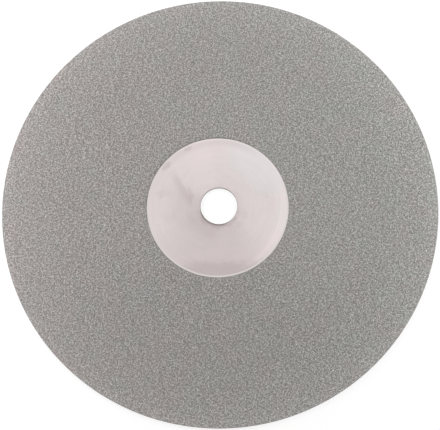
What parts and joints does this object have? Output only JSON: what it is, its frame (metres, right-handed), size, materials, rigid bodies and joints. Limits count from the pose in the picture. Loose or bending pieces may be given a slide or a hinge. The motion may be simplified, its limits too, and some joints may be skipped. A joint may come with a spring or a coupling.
{
  "type": "diamond lapping disc",
  "caption": "Flat round lap: a nickel-plated steel disc with a central bore, its front face coated with diamond grit outside a bare clamping centre.",
  "frame": {"origin": "centre of the bore on the back face, which the disc lies on", "axes": "+Z along the bore towards the grit side; +X to the right and +Y away from a viewer standing in front"},
  "size_m": [0.15, 0.15, 0.0012],
  "materials": {
    "nickel_plate": "satin nickel plating, fine turned sheen",
    "diamond_grit": "coarse diamond grit in a grey nickel bond, rough"
  },
  "bodies": {
    "root": {"steel_plate": "nickel_plate", "diamond_coating": "diamond_grit"}
  },
  "joints": []
}
